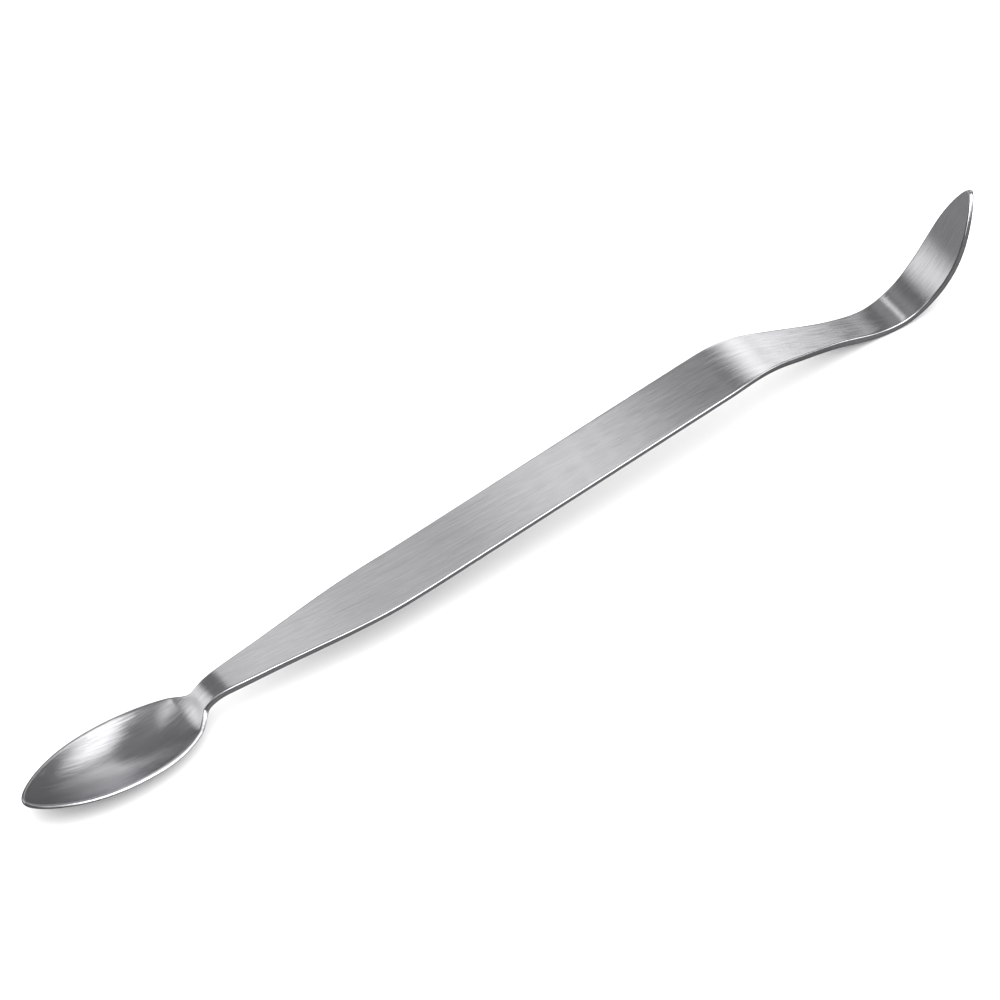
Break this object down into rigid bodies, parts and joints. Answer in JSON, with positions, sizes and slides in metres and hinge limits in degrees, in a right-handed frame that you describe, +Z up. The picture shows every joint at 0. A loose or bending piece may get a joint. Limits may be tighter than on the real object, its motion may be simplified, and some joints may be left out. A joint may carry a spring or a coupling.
{
  "type": "lab spatula",
  "caption": "Formed steel lab spatula: a pointed oval bowl on a cranked neck, a flat handle, and a leaf-shaped blade curled upwards.",
  "frame": {"origin": "on the surface that the spatula stands on, under the middle of its box", "axes": "+X along the handle from the bowl towards the blade, +Y across the strip, +Z up"},
  "size_m": [0.1862, 0.0134, 0.02],
  "materials": {
    "brushed_steel": "fine satin brushing along the strip, with smooth, bright rounded edges"
  },
  "bodies": {
    "root": {"spatula": "brushed_steel"}
  },
  "joints": []
}
